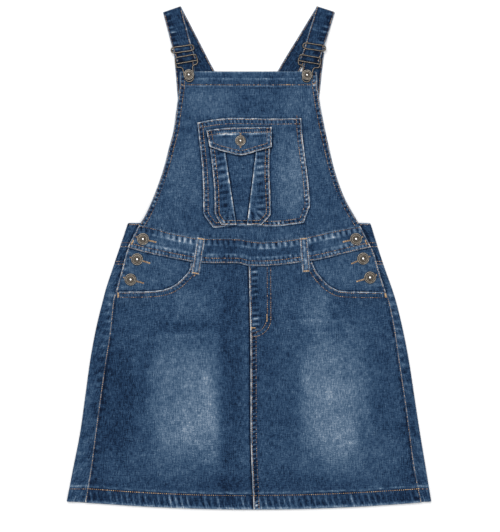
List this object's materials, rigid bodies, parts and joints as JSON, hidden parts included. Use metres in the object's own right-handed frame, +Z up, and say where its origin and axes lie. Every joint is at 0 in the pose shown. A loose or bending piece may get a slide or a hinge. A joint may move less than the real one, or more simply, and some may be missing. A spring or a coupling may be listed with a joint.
{
  "type": "pinafore dress",
  "caption": "Denim pinafore dress laid flat, with bib, pleated patch pocket, crossed straps, wire buckles and side buttons.",
  "frame": {"origin": "middle of the outline, on the surface that the dress lies on", "axes": "+X to the right of the dress as seen from above, +Y from the hem to the straps, +Z up out of the front"},
  "size_m": [0.584, 0.8061, 0.0153],
  "materials": {
    "denim": "washed blue twill, matt",
    "denim_inside": "inside of the twill, darker",
    "button_metal": "antique pewter",
    "wire_metal": "antique pewter"
  },
  "bodies": {
    "root": {"back_waistband": "denim", "back_yoke_left": "denim", "back_yoke_right": "denim", "back_skirt_left": "denim", "back_skirt_right": "denim", "hip_left": "denim", "hip_right": "denim", "front_skirt_left": "denim", "front_skirt_right": "denim", "front_waistband": "denim", "bib": "denim", "bib_pocket": "denim", "pleated_pocket": "denim", "pocket_flap": "denim", "belt_loop_left": "denim", "belt_loop_right": "denim", "strap_left": "denim", "strap_right": "denim", "strap_end_left": "denim_inside", "strap_end_right": "denim_inside", "slider_left": "wire_metal", "slider_right": "wire_metal", "buckle_left": "wire_metal", "buckle_right": "wire_metal", "button_bib_left": "button_metal", "button_bib_right": "button_metal", "button_flap": "button_metal", "button_waist_left": "button_metal", "button_hip_left_upper": "button_metal", "button_hip_left_lower": "button_metal", "button_waist_right": "button_metal", "button_hip_right_upper": "button_metal", "button_hip_right_lower": "button_metal"}
  },
  "joints": []
}
